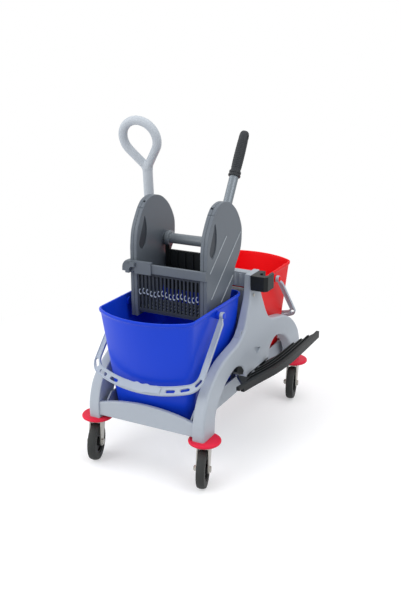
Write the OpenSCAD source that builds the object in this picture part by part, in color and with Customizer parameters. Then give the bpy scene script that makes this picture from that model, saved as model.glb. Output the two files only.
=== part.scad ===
// Double mop bucket trolley: two buckets on a four-caster chassis, a lever wringer on the front bucket.
// Millimetres, +Z up, -Y is the front end, the floor is z = 0.

/* [Casters] */
// wheel diameter
wheel_d = 100; // [90:1:110]
// wheel width over the tyre
wheel_w = 21; // [18:1:24]
// distance between the swivel axes across the trolley
track = 320; // [312:1:328]
// distance between the swivel axes along the trolley
wheelbase = 600; // [590:1:620]
// distance from the swivel axis back to the axle
trail = 22; // [20:1:26]
// angle the front casters stand turned at rest
caster_turn = 17; // [0:0.5:25]
// angle the rear casters stand turned at rest
rear_turn = 12; // [0:0.5:25]
// axle bolt radius
axle_r = 5; // [4:0.5:6]
// kingpin radius
king_r = 6; // [5:0.5:7]
// radius of a running bore beyond its pin
run_gap = 0.05; // [0.03:0.01:0.08]
// fork plate thickness
fork_t = 3; // [2.5:0.5:4]
// bumper disc radius
bumper_r = 42; // [38:1:46]
// bumper disc thickness
bumper_t = 10; // [8:1:12]

/* [Chassis] */
// inner face of the side panels, from the middle
panel_in = 138; // [134:1:142]
// outer face of the side panels at the legs, from the middle
panel_out = 170; // [168:1:176]
// outer face of the posts at their top, from the middle
post_out = 158; // [156:1:164]
// height of the posts above the leg ends
post_h = 354; // [340:1:370]
// thickness of the front and rear bars
bar_t = 12; // [8:1:14]
// gap from a bucket to the side walls of the base platform
tray_gap = 5; // [4:0.5:7]
// height of those side walls above the bucket floor
tray_h = 36; // [30:1:44]
// thickness of the base platform
platform_t = 12; // [8:1:14]
// width of the bridge along the trolley
bridge_w = 28; // [24:1:30]
// height of the bridge
bridge_h = 40; // [34:1:44]

/* [Buckets] */
// depth of a bucket from floor to rim
bucket_h = 278; // [260:1:290]
// gap from the rim wall to the inner face of the side panels
rim_gap = 5; // [4:1:10]
// gap from the bridge to the inner end of the bucket wall
bucket_gap = 11; // [9:1:14]
// how far the outer end bows out at the rim
rim_bow = 50; // [42:1:54]
// how far each side draws in from rim to floor
draft_x = 18; // [14:1:24]
// how far the outer end draws in from rim to floor
draft_y = 33; // [28:1:38]
// corner radius at the rim
bucket_r = 32; // [26:1:36]
// bucket wall thickness
bucket_wall = 3; // [2.4:0.1:4]
// how far the lip stands out
lip_w = 3; // [2:0.5:4]
// height of the lip
lip_h = 9; // [6:1:12]

/* [Bails] */
// pivot distance from the middle of the trolley
bail_y = 182; // [176:1:188]
// pivot distance below the rim
bail_drop = 20; // [16:1:24]
// pivot pin radius
bail_pin_r = 6; // [5:0.5:7]
// gap from the bucket wall to the bow at rest
bail_clear = 10.6; // [8:0.2:14]
// width of the arms
bail_arm = 15; // [12:1:18]
// width of the bow
bail_bow = 24; // [20:1:26]
// thickness of the band
bail_t = 7.5; // [6:0.5:9]
// angle below level at rest
bail_angle = 47; // [42:1:50]
// side gap between the lip and the bail
bail_gap = 7; // [4:0.5:8]

/* [Wringer] */
// outer face of the cheeks, from the middle
cheek_out = 112; // [108:1:116]
// thickness of a cheek, both shells together
cheek_t = 20; // [18:1:22]
// shaft axis in front of the bridge middle
shaft_y = 45; // [44:1:50]
// shaft axis above the bridge
shaft_z = 78; // [74:1:84]
// shaft radius
shaft_r = 14; // [12.5:0.5:15]
// lever plane, from the middle
lever_x = 66; // [60:1:66]
// lever angle from upright at rest
lever_lean = 31; // [26:1:36]
// lever length from the shaft axis to the tip of the grip
lever_l = 322; // [300:1:340]
// lever tube radius
lever_r = 12.5; // [11:0.5:13]
// jaw length below the shaft axis
jaw_l = 140; // [130:1:146]
// number of grille slats
slats = 17; // [13:1:17]
// slat width
slat_w = 5; // [4:0.5:6]

/* [Handle and mop holders] */
// push handle shaft radius
handle_r = 14; // [12:0.5:15]
// height of the loop junction above the posts
handle_h = 262; // [240:1:290]
// tube radius of the loop
loop_tube = 12.5; // [11:0.5:13.5]
// centre line radius of the loop
loop_r = 51; // [46:1:56]
// radius of the mop clip channel
clip_r = 12.5; // [11:0.5:14]
// width of the clip mouth
clip_mouth = 18; // [14:1:20]
// height of the mop rest top above the leg ends
rest_z = 114; // [108:1:122]
// height of the mop rest flange
rest_h = 20; // [16:1:24]

/* [Hidden] */
$fn = 64;
leg_z = wheel_d + 12 + bumper_t;
floor_z = leg_z + 28;
rim_z = floor_z + bucket_h;
top_z = leg_z + post_h;
panel_end = wheelbase / 2 + 26;
bar_y = panel_end - 4;
rim_w = panel_in - rim_gap;
rim_in = bridge_w / 2 + bucket_gap;
rim_out = wheelbase / 2 + 15;
low_in = rim_in + 16;
low_bow = 12;
tray_in = rim_w - draft_x + draft_x * tray_h / bucket_h + tray_gap;
tray_out = tray_in + 4;
beam_y = 12;
beam_gap = 12;
beam_top = top_z - bridge_h - beam_gap;
fork_in = wheel_w / 2 + 3;
fork_out = fork_in + fork_t;
hub_r = wheel_d / 2 - 19;
eye_in = rim_w + lip_w + bail_gap + 1;
shell_in = cheek_out - cheek_t;
seam = cheek_out - cheek_t / 2;
handle_x = (panel_in + post_out) / 2;
bow_big = 376;
arm_out = eye_in + bail_arm;
wall_lean = (draft_y + rim_bow - low_bow) / bucket_h;
bow_level = rim_out - draft_y + low_bow + wall_lean * (bucket_h - bail_drop) + bail_clear - bail_y;
bail_reach = bail_bow + bow_level / (cos(bail_angle) + wall_lean * sin(bail_angle));
tread_r = 22;
handle_low = [-handle_x, -22, top_z + 6];
handle_top = [-handle_x - 2, -36, top_z + handle_h];
clip_x = post_out + 28;
clip_y = -6;
rest_out = panel_out + 82;
mid_x = (rest_out - (handle_x + 9 + loop_r + loop_tube)) / 2;
wheel_reach = wheelbase / 2 + (trail + wheel_d / 2 - tread_r) * cos(caster_turn) + tread_r;
mid_y = (rim_out + rim_bow + lip_w - max(wheel_reach, rim_out + rim_bow + lip_w)) / 2;
// one node name draws that node alone

grey = [0.65, 0.68, 0.7];
dark = [0.42, 0.44, 0.46];
black = [0.1, 0.1, 0.11];
zinc = [0.78, 0.75, 0.69];
blue = [0.02, 0.16, 0.72];
red = [0.78, 0.03, 0.09];
coral = [0.9, 0.27, 0.33];
pale = [0.8, 0.82, 0.84];

function spline(a, b, c, d, t) =
    0.5 * (2 * b + (c - a) * t + (2 * a - 5 * b + 4 * c - d) * t * t + (3 * b - a - 3 * c + d) * t * t * t);
function curve(p, n = 5) = [
    for (i = [0 : len(p) - 2])
        for (k = [0 : n - 1])
            spline(p[max(i - 1, 0)], p[i], p[i + 1], p[min(i + 2, len(p) - 1)], k / n),
    p[len(p) - 1]
];
function flip(p) = [for (i = [len(p) - 1 : -1 : 0]) [-p[i].x, p[i].y]];
function back(p) = [for (i = [len(p) - 1 : -1 : 0]) p[i]];
function moved(p, d) = [for (q = p) q + d];
function post_x(z) = panel_out - 4 - (z - leg_z - 178) * (panel_out - 4 - post_out) / (post_h - 178);

module placed() translate([-mid_x, -mid_y, 0]) children();
module along_x(x0, x1) translate([x0, 0, 0]) rotate([90, 0, 90]) linear_extrude(x1 - x0) children();
module along_y(y0, y1) translate([0, y1, 0]) rotate([90, 0, 0]) linear_extrude(y1 - y0) children();
module box(lo, hi) translate(lo) cube(hi - lo);
module pin_x(x0, x1, r, y, z) translate([x0, y, z]) rotate([0, 90, 0]) cylinder(h = x1 - x0, r = r);
module rod(a, b, r, spin = 0) {
    d = b - a;
    translate(a)
        rotate([0, acos(d.z / norm(d)), atan2(d.y, d.x)])
            rotate([0, 0, spin])
                cylinder(h = norm(d), r = r);
}

// side panels

module panel_outline() {
    arch = curve([[78, 80], [84, 103], [104, 121], [140, 129], [195, 111], [235, 79], [255, 46], [260, 0]]);
    end = panel_end;
    crown = curve([
        [end, 0], [end, 40], [end - 15, 88], [end - 41, 123], [end - 76, 150], [end - 120, 171],
        [150, 184], [114, 191], [87, 205], [68, 228], [52, 258], [36, 292], [31, 330], [30, post_h]
    ]);
    half = concat(arch, crown);
    translate([0, leg_z]) polygon(concat(half, flip(half)));
}

module panel() {
    difference() {
        intersection() {
            along_x(panel_in, panel_out) panel_outline();
            along_y(-panel_end - 1, panel_end + 1)
                polygon([
                    [panel_in, leg_z], [panel_out, leg_z], [panel_out, leg_z + 93], [panel_out - 4, leg_z + 178],
                    [post_out, top_z], [panel_in, top_z]
                ]);
        }
        for (y = [-wheelbase / 2, wheelbase / 2])
            translate([track / 2, y, leg_z - 1]) cylinder(h = 41, r = 8);
        along_x(panel_out - 5, panel_out + 1)
            translate([0, leg_z]) polygon([[-20, 150], [20, 150], [0, 118]]);
        for (s = [-1, 1])
            translate([panel_in + 11, s * 85, leg_z + 204])
                rotate([s * 39.7, 0, 0])
                    cube([16, 12, 22], center = true);
    }
}

module right_side_panel() placed() color(grey) panel();
module left_side_panel() placed() color(grey) mirror([1, 0, 0]) panel();

// cross members

module end_bar() {
    rise = 19;
    big = (panel_in * panel_in + rise * rise) / (2 * rise);
    along_y(bar_y - bar_t, bar_y)
        intersection() {
            translate([-panel_in, leg_z + 8]) square([2 * panel_in, 60]);
            translate([0, leg_z + 64 - big]) circle(big, $fn = 360);
        }
}

module front_bar() placed() color(grey) mirror([0, 1, 0]) end_bar();
module rear_bar() placed() color(grey) end_bar();

module base_platform() placed() color(grey) {
    end = bar_y - bar_t;
    difference() {
        box([-tray_out, -end, floor_z - platform_t], [tray_out, end, floor_z]);
        for (y = [-235 : 94 : 235], x = [-78, 26])
            box([x, y - 26, floor_z - platform_t - 1], [x + 52, y + 26, floor_z + 1]);
    }
    for (x = [-tray_out, tray_in], s = [0, 1])
        mirror([0, s, 0])
            along_x(x, x + 4)
                polygon([
                    [beam_y, floor_z - 1], [end, floor_z - 1], [end, floor_z + 14], [end - 24, floor_z + tray_h],
                    [beam_y, floor_z + tray_h]
                ]);
}

module centre_beam() placed() color(grey)
    box([-panel_in, -beam_y, floor_z], [panel_in, beam_y, beam_top]);

module bridge() placed() color(grey) {
    box([-panel_in, -bridge_w / 2, top_z - bridge_h], [panel_in, bridge_w / 2, top_z]);
    for (i = [-7 : 7])
        box([i * 17 - 3, -bridge_w / 2 - 3, top_z - bridge_h + 4], [i * 17 + 3, -bridge_w / 2 + 1, top_z - 4]);
}

// casters

module corner(sx, sy) placed() translate([sx * track / 2, sy * wheelbase / 2, 0]) children();
module turned(turn) rotate([0, 0, turn]) children();

module bumper() color(coral)
    translate([0, 0, wheel_d + 12])
        rotate_extrude()
            union() {
                translate([8, 0]) square([bumper_r - 8 - bumper_t / 2, bumper_t]);
                translate([bumper_r - bumper_t / 2, bumper_t / 2]) circle(bumper_t / 2, $fn = 32);
            }

module stem() color(zinc) {
    translate([0, 0, wheel_d + 12]) cylinder(h = bumper_t + 38, r = 8);
    translate([0, 0, wheel_d + 7.3]) cylinder(h = 4.7, r = 20);
    translate([0, 0, wheel_d + 1]) cylinder(h = 6.5, r = king_r);
    translate([0, 0, wheel_d + 1]) cylinder(h = 6.7 - fork_t - 1, r = king_r + 3);
}

module fork(turn) color(zinc) turned(turn) difference() {
    top = wheel_d + 7;
    union() {
        translate([0, 0, top - fork_t]) cylinder(h = fork_t, r = fork_out);
        box([-fork_out, -24, top - fork_t], [fork_out, 8, top]);
        for (x = [-fork_out, fork_in])
            along_x(x, x + fork_t) {
                polygon([
                    [-24, top], [8, top], [8, wheel_d - 6],
                    [-trail + 11, wheel_d / 2 - 1], [-trail - 11, wheel_d / 2 + 1], [-31, wheel_d - 16]
                ]);
                translate([-trail, wheel_d / 2]) circle(11);
            }
    }
    translate([0, 0, wheel_d]) cylinder(h = 9, r = king_r + run_gap);
    pin_x(-fork_out - 1, fork_out + 1, axle_r, -trail, wheel_d / 2);
}

module axle(turn) color(zinc) turned(turn) {
    pin_x(-fork_out - 8, fork_out, axle_r, -trail, wheel_d / 2);
    pin_x(fork_out, fork_out + 4, axle_r + 3, -trail, wheel_d / 2);
    translate([-fork_out - 6, -trail, wheel_d / 2]) rotate([0, 90, 0]) cylinder(h = 6, r = axle_r + 3.5, $fn = 6);
}

module on_axle(turn)
    turned(turn) translate([0, -trail, wheel_d / 2]) rotate([0, 90, 0]) rotate_extrude() children();

module hub(turn) color(dark) on_axle(turn)
    polygon([
        [axle_r + run_gap, -fork_in + 1], [12, -fork_in + 1], [12, -4], [hub_r - 5, -4], [hub_r - 5, -wheel_w / 2 + 2],
        [hub_r, -wheel_w / 2 + 2], [hub_r, wheel_w / 2 - 2], [hub_r - 5, wheel_w / 2 - 2], [hub_r - 5, 4], [12, 4],
        [12, fork_in - 1], [axle_r + run_gap, fork_in - 1]
    ]);

module tyre(turn) color(black) on_axle(turn)
    intersection() {
        translate([hub_r, -wheel_w / 2]) square([19, wheel_w]);
        translate([wheel_d / 2 - tread_r, 0]) circle(tread_r, $fn = 96);
    }

module front_right_bumper() corner(1, -1) bumper();
module front_left_bumper() corner(-1, -1) bumper();
module rear_right_bumper() corner(1, 1) bumper();
module rear_left_bumper() corner(-1, 1) bumper();
module front_right_stem() corner(1, -1) stem();
module front_left_stem() corner(-1, -1) stem();
module rear_right_stem() corner(1, 1) stem();
module rear_left_stem() corner(-1, 1) stem();
module front_right_fork() corner(1, -1) fork(caster_turn);
module front_left_fork() corner(-1, -1) fork(caster_turn);
module rear_right_fork() corner(1, 1) fork(rear_turn);
module rear_left_fork() corner(-1, 1) fork(rear_turn);
module front_right_axle() corner(1, -1) axle(caster_turn);
module front_left_axle() corner(-1, -1) axle(caster_turn);
module rear_right_axle() corner(1, 1) axle(rear_turn);
module rear_left_axle() corner(-1, 1) axle(rear_turn);
module front_right_hub() corner(1, -1) hub(caster_turn);
module front_left_hub() corner(-1, -1) hub(caster_turn);
module rear_right_hub() corner(1, 1) hub(rear_turn);
module rear_left_hub() corner(-1, 1) hub(rear_turn);
module front_right_tyre() corner(1, -1) tyre(caster_turn);
module front_left_tyre() corner(-1, -1) tyre(caster_turn);
module rear_right_tyre() corner(1, 1) tyre(rear_turn);
module rear_left_tyre() corner(-1, 1) tyre(rear_turn);

// buckets

module bucket_plan(w, near, far, bow, r) {
    big = (w * w + bow * bow) / (2 * bow);
    offset(r = r, $fn = 48) offset(delta = -r)
        intersection() {
            translate([-w, near]) square([2 * w, far + bow - near]);
            translate([0, far + bow - big]) circle(big, $fn = 240);
        }
}

module rim_plan() bucket_plan(rim_w, rim_in, rim_out, rim_bow, bucket_r);
module low_plan() bucket_plan(rim_w - draft_x, low_in, rim_out - draft_y, low_bow, bucket_r);

module bucket() {
    difference() {
        union() {
            hull() {
                translate([0, 0, floor_z]) linear_extrude(0.1) low_plan();
                translate([0, 0, rim_z - 0.1]) linear_extrude(0.1) rim_plan();
            }
            translate([0, 0, rim_z - lip_h]) linear_extrude(lip_h) offset(r = lip_w, $fn = 48) rim_plan();
            for (s = [-1, 1])
                translate([s * (rim_w - 9), bail_y, rim_z - bail_drop]) rotate([0, s * 90, 0]) {
                    cylinder(h = eye_in + 9.3 - rim_w + 9, r = bail_pin_r);
                    translate([0, 0, eye_in + 9.3 - rim_w + 9]) cylinder(h = 2, r = bail_pin_r + 2);
                    cylinder(h = eye_in - 0.5 - rim_w + 9, r = bail_pin_r + 4);
                }
        }
        hull() {
            translate([0, 0, floor_z + bucket_wall]) linear_extrude(0.1) offset(delta = -bucket_wall) low_plan();
            translate([0, 0, rim_z]) linear_extrude(0.1) offset(delta = -bucket_wall) rim_plan();
        }
    }
}

module blue_bucket() placed() color(blue) mirror([0, 1, 0]) bucket();
module red_bucket() placed() color(red) bucket();

// bails

module bail_area(w, reach, r) {
    offset(r = r, $fn = 64) offset(delta = -r)
        intersection() {
            translate([-w, -80]) square([2 * w, 80 + reach]);
            translate([0, bail_reach - bow_big]) circle(bow_big - bail_reach + reach, $fn = 240);
        }
}

module slot(x, r, tilt, l)
    translate([x, r]) rotate(tilt) {
        square([l - 9, 9], center = true);
        for (e = [4.5 - l / 2, l / 2 - 4.5]) translate([e, 0]) circle(4.5, $fn = 24);
    }

module on_bail() translate([0, bail_y, rim_z - bail_drop]) rotate([-bail_angle, 0, 0]) children();

module bail() on_bail() difference() {
    union() {
        translate([0, 0, -bail_t / 2])
            linear_extrude(bail_t)
                difference() {
                    bail_area(arm_out, bail_reach, 46);
                    bail_area(eye_in, bail_reach - bail_bow, 30);
                    translate([-200, -100]) square([400, 100]);
                    for (s = [-1, 1]) {
                        slot(s * (arm_out - 77), bail_reach - 20, s * -12.5, 26);
                        slot(s * (arm_out - 40), bail_reach - 31, s * -22, 26);
                        slot(s * (arm_out - 11), bail_reach - 55, s * -62, 24);
                    }
                }
        for (s = [-1, 1])
            translate([s * eye_in, 0, 0]) rotate([0, s * 90, 0]) cylinder(h = 9, r = bail_pin_r + 4);
    }
    pin_x(-eye_in - 30, eye_in + 30, bail_pin_r + run_gap, 0, 0);
    for (s = [-1, 1])
        translate([s * (eye_in + 9), 0, 0]) rotate([0, s * 90, 0]) cylinder(h = 20, r = bail_pin_r + 2.5);
}

module bail_grip() on_bail() {
    wave = [for (i = [0 : 48]) [56 - i * 112 / 48, bail_reach - bail_bow - 1 + 1.6 * cos(i * 30)]];
    translate([0, 0, bail_t / 2])
        linear_extrude(3.5)
            polygon(concat([[-56, bail_reach - 7], [0, bail_reach - 2], [56, bail_reach - 7]], wave));
}

module blue_bail() placed() color(pale) mirror([0, 1, 0]) bail();
module red_bail() placed() color(pale) bail();
module blue_bail_grip() placed() color(pale) mirror([0, 1, 0]) bail_grip();
module red_bail_grip() placed() color(pale) bail_grip();

// wringer, heights from the top of the bridge

module at_bridge() placed() translate([0, 0, top_z]) children();

module cheek_outline() {
    polygon(concat(
        [[-195, -102]],
        curve([
            [-195, 84], [-187, 128], [-166, 166], [-148, 188], [-133, 198], [-105, 204], [-75, 200],
            [-50, 189], [-23, 168], [0, 136], [9, 106], [2, 59], [-32, 14], [-43, -25]
        ]),
        [[-80, -102]]
    ));
}

module hollow() translate([-104, 50]) scale([0.92, 0.92]) translate([104, -50]) cheek_outline();

module teardrop() {
    translate([-166, 78]) circle(8, $fn = 32);
    polygon([[-174, 79], [-158.2, 79.8], [-149, 152], [-154, 157]]);
}

module inner_shell() difference() {
    along_x(shell_in, seam) cheek_outline();
    along_x(shell_in + 4, seam + 1) hollow();
    pin_x(shell_in - 1, seam, shaft_r + 2, -shaft_y, shaft_z);
}

module cover() {
    difference() {
        along_x(seam, cheek_out) cheek_outline();
        along_x(seam - 1, cheek_out - 4) hollow();
        along_x(cheek_out - 2.5, cheek_out + 1) teardrop();
    }
    along_x(cheek_out - 1, cheek_out + 1)
        difference() {
            union() {
                translate([-132.5, 74]) rotate(40) square([122, 1.6], center = true);
                translate([-86, 36]) rotate(39.6) square([224, 1.6], center = true);
                translate([-80, -30]) rotate(38.1) square([92, 1.6], center = true);
            }
            translate([-198, -110]) square([9, 400]);
        }
}

module right_inner_shell() at_bridge() color(dark) inner_shell();
module left_inner_shell() at_bridge() color(dark) mirror([1, 0, 0]) inner_shell();
module right_cheek_cover() at_bridge() color(dark) cover();
module left_cheek_cover() at_bridge() color(dark) mirror([1, 0, 0]) cover();

module wringer_rail() at_bridge() color(dark)
    box([-cheek_out, -203, 21], [cheek_out, -195, 45]);

module wringer_grille() at_bridge() color(dark) {
    pitch = (2 * shell_in - slat_w) / (slats - 1);
    for (i = [0 : slats - 1])
        box([-shell_in + i * pitch, -193, -80], [-shell_in + i * pitch + slat_w, -187, 18]);
    box([-shell_in, -193, 12], [shell_in, -185, 21]);
    box([-shell_in, -193, -86], [shell_in, -185, -79]);
}

module drain_floor() at_bridge() color(dark) difference() {
    box([-shell_in, -185, -92], [shell_in, -88, -86]);
    for (i = [-6 : 6])
        box([i * 13 - 3, -176, -93], [i * 13 + 3, -97, -85]);
}

module hanger_rail() at_bridge() color(dark) {
    box([-shell_in, -42, 6], [shell_in, -36, 32]);
    for (x = [-62, 38])
        along_x(x, x + 24)
            polygon([
                [-42, 6], [-42, 20], [-30, 8], [bridge_w / 2 + 3.4, 8], [bridge_w / 2 + 3.4, -22],
                [bridge_w / 2 + 0.4, -22], [bridge_w / 2 + 0.4, 0], [-36, 0]
            ]);
}

module finger(r) {
    intersection() {
        difference() {
            circle(r);
            circle(r - 11);
        }
        translate([-r, 0]) square([r, r]);
    }
    translate([-r, -8]) square([11, 8.5]);
}

module rail_hook() at_bridge() color(dark) {
    box([-92, -207, 18], [-44, -203, 50]);
    box([-cheek_out - 6, -207, 45], [-44, -196, 50]);
    box([-cheek_out - 6, -203, 20], [-cheek_out, -191, 50]);
    box([-97, -214, 36], [-90, -203, 47]);
    along_y(-214, -203) translate([-96, 27]) finger(20);
    along_y(-197, -187) translate([-cheek_out, 26]) finger(24);
}

module shaft_bushes() at_bridge() color(black)
    for (s = [-1, 1])
        translate([s * (shell_in - 4), -shaft_y, shaft_z]) rotate([0, s * 90, 0]) difference() {
            union() {
                cylinder(h = 4, r = 20);
                cylinder(h = 8, r = shaft_r + 2);
            }
            translate([0, 0, -1]) cylinder(h = 10, r = shaft_r - 2 + run_gap);
        }

module return_spring() at_bridge() color(zinc) difference() {
    pin_x(shell_in + 4, shell_in + 12, 20, -shaft_y, shaft_z);
    pin_x(shell_in + 3, shell_in + 13, 17.5, -shaft_y, shaft_z);
}

// press

module press_shaft() at_bridge() color(dark) {
    pin_x(-shell_in + 4.4, shell_in - 4.4, shaft_r, -shaft_y, shaft_z);
    pin_x(-shell_in - 3.5, shell_in + 3.5, shaft_r - 2, -shaft_y, shaft_z);
}

module jaw_plate() at_bridge() color(black) {
    y = -shaft_y - 5;
    low = shaft_z - jaw_l;
    difference() {
        union() {
            for (x = [-86, 74]) {
                pin_x(x, x + 12, 20, -shaft_y, shaft_z);
                box([x, y - 7, shaft_z - 40], [x + 12, y, shaft_z]);
            }
            box([-86, y - 7, low], [86, y, shaft_z - 29]);
            for (i = [-3 : 3])
                box([i * 24 - 2, y - 11, low + 4], [i * 24 + 2, y - 6, shaft_z - 33]);
        }
        pin_x(-90, 90, shaft_r, -shaft_y, shaft_z);
    }
}

module on_lever() at_bridge() translate([lever_x, -shaft_y, shaft_z]) rotate([-lever_lean, 0, 0]) children();

module lever_socket() color(dark) on_lever() difference() {
    union() {
        pin_x(52 - lever_x, 73.6 - lever_x, 20, 0, 0);
        cylinder(h = 54, r = lever_r + 3.5);
    }
    pin_x(-40, 40, shaft_r, 0, 0);
    pin_x(73.6 - lever_x, 40, 20.4, 0, 0);
    translate([0, 0, 24]) cylinder(h = 40, r = lever_r);
}

module lever_tube() color(pale) on_lever() difference() {
    translate([0, 0, 24]) cylinder(h = lever_l - 54, r = lever_r);
    translate([0, 0, 25]) cylinder(h = lever_l - 54, r = lever_r - 1.5);
}

module lever_grip() color(black) on_lever() difference() {
    rotate_extrude()
        polygon(concat(
            [
                [0, lever_l - 132], [17, lever_l - 132], [17, lever_l - 127], [15, lever_l - 126],
                [15, lever_l - 123], [16.5, lever_l - 122], [16.5, lever_l - 117], [14.5, lever_l - 116],
                [14, lever_l - 60], [13.6, lever_l - 20]
            ],
            [for (a = [0 : 15 : 75]) [5.6 + 8 * cos(a), lever_l - 8 + 8 * sin(a)]],
            [[5, lever_l], [0, lever_l]]
        ));
    translate([0, 0, lever_l - 140]) cylinder(h = 110, r = lever_r);
    pin_x(-20, 20, 4, 0, lever_l - 17);
}

// handle and mop holders

module handle_socket() placed() color(grey) difference() {
    union() {
        box([-handle_x - 10, -42, top_z], [-handle_x + 10, 28, top_z + 10]);
        translate([-handle_x, -23.5, top_z])
            cylinder(r = handle_r + 5, h = 44);
    }
    rod(handle_low, handle_top, handle_r, 65);
    box([-handle_x - 1.5, -20, top_z + 14], [-handle_x + 1.5, 10, top_z + 60]);
}

module push_handle() placed() color(grey) {
    h = 83.8;
    a = asin(loop_r / h);
    leg = sqrt(h * h - loop_r * loop_r);
    rod(handle_low, handle_top, handle_r);
    translate(handle_top) {
        sphere(handle_r + 1.5);
        rotate([16.7, -5, 0]) {
            for (s = [-1, 1])
                rod([0, 0, 0], [s * (leg + 2) * sin(a), 0, (leg + 2) * cos(a)], loop_tube - 0.4);
            translate([0, 0, h])
                rotate([90, 0, 0])
                    rotate([0, 0, -a])
                        rotate_extrude(angle = 180 + 2 * a)
                            translate([loop_r, 0]) circle(loop_tube, $fn = 48);
        }
    }
}

module mop_clip() placed() color(black) difference() {
    intersection() {
        along_y(-40, 30)
            polygon([[post_x(top_z - 40), top_z - 40], [post_out, top_z], [220, top_z], [220, top_z - 40]]);
        translate([0, 0, top_z - 40])
            linear_extrude(40)
                polygon([
                    [post_out - 10, -36], [clip_x + 12, -36], [clip_x + 20, -28], [clip_x + 20, 12],
                    [clip_x + 12, 24], [post_out - 10, 24]
                ]);
    }
    translate([clip_x, clip_y, top_z - 50]) cylinder(h = 60, r = clip_r);
    box([clip_x - clip_mouth / 2, clip_y, top_z - 50], [clip_x + clip_mouth / 2, 40, top_z + 10]);
}

module clip_screw() placed() color(zinc)
    translate([post_x(top_z - 58), -18, top_z - 58])
        rotate([0, 90 - atan((panel_out - 4 - post_out) / (post_h - 178)), 0])
            cylinder(h = 2, r = 4);

module mop_rest() placed() color(black) {
    high = leg_z + rest_z;
    low = high - rest_h;
    x = panel_out;
    outer = curve([
        [x + 42, -210], [x + 56, -130], [x + 74, -40], [x + 81, 40], [rest_out, 130], [x + 80, 270]
    ], 8);
    inner = curve([
        [x + 72, 268], [x + 63, 230], [x + 54, 191], [x + 45, 146], [x + 43, 112], [x + 38, 52], [x + 32, -10],
        [x + 29, -70], [x + 29, -140]
    ], 6);
    translate([0, 0, high - 10]) linear_extrude(6) polygon(concat(outer, inner, [[x + 36, -204]]));
    translate([0, 0, high - 10]) linear_extrude(10) polygon(concat(outer, back(moved(outer, [-9, 0]))));
    translate([0, 0, low])
        linear_extrude(rest_h)
            intersection() {
                polygon(concat(outer, back(moved(outer, [-9, 0]))));
                translate([x, -190]) square([200, 600]);
            }
    for (d = [18, 27, 36])
        translate([0, 0, high - 5])
            linear_extrude(5)
                intersection() {
                    polygon(concat(moved(outer, [-d, 0]), back(moved(outer, [-d - 3, 0]))));
                    polygon(concat(outer, inner, [[x + 36, -204]]));
                }
    translate([0, 0, high - 8])
        linear_extrude(8)
            polygon([[x + 2, -140], [x + 38, -140], [x + 40, -188]]);
    for (y = [-60, 36])
        along_y(y, y + 24)
            polygon([
                [panel_in - 6, leg_z + 70], [x + 6, leg_z + 70], [x + 46, low], [x + 70, low], [x + 70, high - 8],
                [x + 36, high - 8], [x + 1, leg_z + 82], [x + 1, leg_z + 80], [panel_in, leg_z + 80],
                [panel_in, leg_z + 94], [panel_in - 6, leg_z + 94]
            ]);
}

right_side_panel();
left_side_panel();
front_bar();
rear_bar();
base_platform();
centre_beam();
bridge();
front_right_bumper();
front_left_bumper();
rear_right_bumper();
rear_left_bumper();
front_right_stem();
front_left_stem();
rear_right_stem();
rear_left_stem();
handle_socket();
push_handle();
mop_clip();
clip_screw();
mop_rest();
front_right_fork();
front_left_fork();
rear_right_fork();
rear_left_fork();
front_right_axle();
front_left_axle();
rear_right_axle();
rear_left_axle();
front_right_hub();
front_left_hub();
rear_right_hub();
rear_left_hub();
front_right_tyre();
front_left_tyre();
rear_right_tyre();
rear_left_tyre();
blue_bucket();
red_bucket();
blue_bail();
red_bail();
blue_bail_grip();
red_bail_grip();
right_inner_shell();
left_inner_shell();
right_cheek_cover();
left_cheek_cover();
wringer_rail();
wringer_grille();
drain_floor();
hanger_rail();
rail_hook();
shaft_bushes();
return_spring();
press_shaft();
jaw_plate();
lever_socket();
lever_tube();
lever_grip();
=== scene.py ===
import math

import bmesh
import bpy
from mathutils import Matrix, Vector


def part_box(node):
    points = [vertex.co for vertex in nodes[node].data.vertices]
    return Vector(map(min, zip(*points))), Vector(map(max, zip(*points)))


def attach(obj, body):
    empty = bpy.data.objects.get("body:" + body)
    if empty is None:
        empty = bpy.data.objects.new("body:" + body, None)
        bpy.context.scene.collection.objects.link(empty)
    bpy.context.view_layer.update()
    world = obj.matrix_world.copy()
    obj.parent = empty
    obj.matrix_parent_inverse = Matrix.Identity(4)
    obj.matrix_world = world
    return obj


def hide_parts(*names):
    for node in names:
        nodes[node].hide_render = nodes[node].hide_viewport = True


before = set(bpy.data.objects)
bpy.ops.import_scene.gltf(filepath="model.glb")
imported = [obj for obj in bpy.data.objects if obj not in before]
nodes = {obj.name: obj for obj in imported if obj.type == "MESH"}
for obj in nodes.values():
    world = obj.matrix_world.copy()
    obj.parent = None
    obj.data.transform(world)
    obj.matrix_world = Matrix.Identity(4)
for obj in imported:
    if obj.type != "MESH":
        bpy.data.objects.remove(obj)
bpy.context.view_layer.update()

scene = bpy.context.scene
scene.view_settings.view_transform = "Standard"

# The trolley is drawn about its own middle, in millimetres, and stands a little off the frame's origin.
front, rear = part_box("front_bar"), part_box("rear_bar")
MIDDLE = Vector((front[0][0] + front[1][0], front[0][1] + rear[1][1], 0)) / 2
SIDES = (("right", 1), ("left", -1))

# Foot of the side panels and top of the bridge
LEG, TOP = 122.0, 476.0
# Faces of the side panels, and the heights where the outer face starts to lean in and where it leans on
PANEL_IN, PANEL_OUT = 138.0, 170.0
SHOULDER, NECK = LEG + 93, LEG + 178
# Bottom and rim of the buckets, and the pivots of their bails
FLOOR, RIM = 150.0, 428.0
PIVOT_Y, PIVOT_Z = 182.0, 408.0
# Faces of the wringer's cheeks, the shaft of its press, and the lever on the shaft
CHEEK_IN, CHEEK_OUT = 92.0, 112.0
SHAFT_Y, SHAFT_Z = -45.0, TOP + 78
LEVER_X, LEVER_LENGTH, LEVER_LEAN = 66.0, 322.0, math.radians(31)


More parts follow.
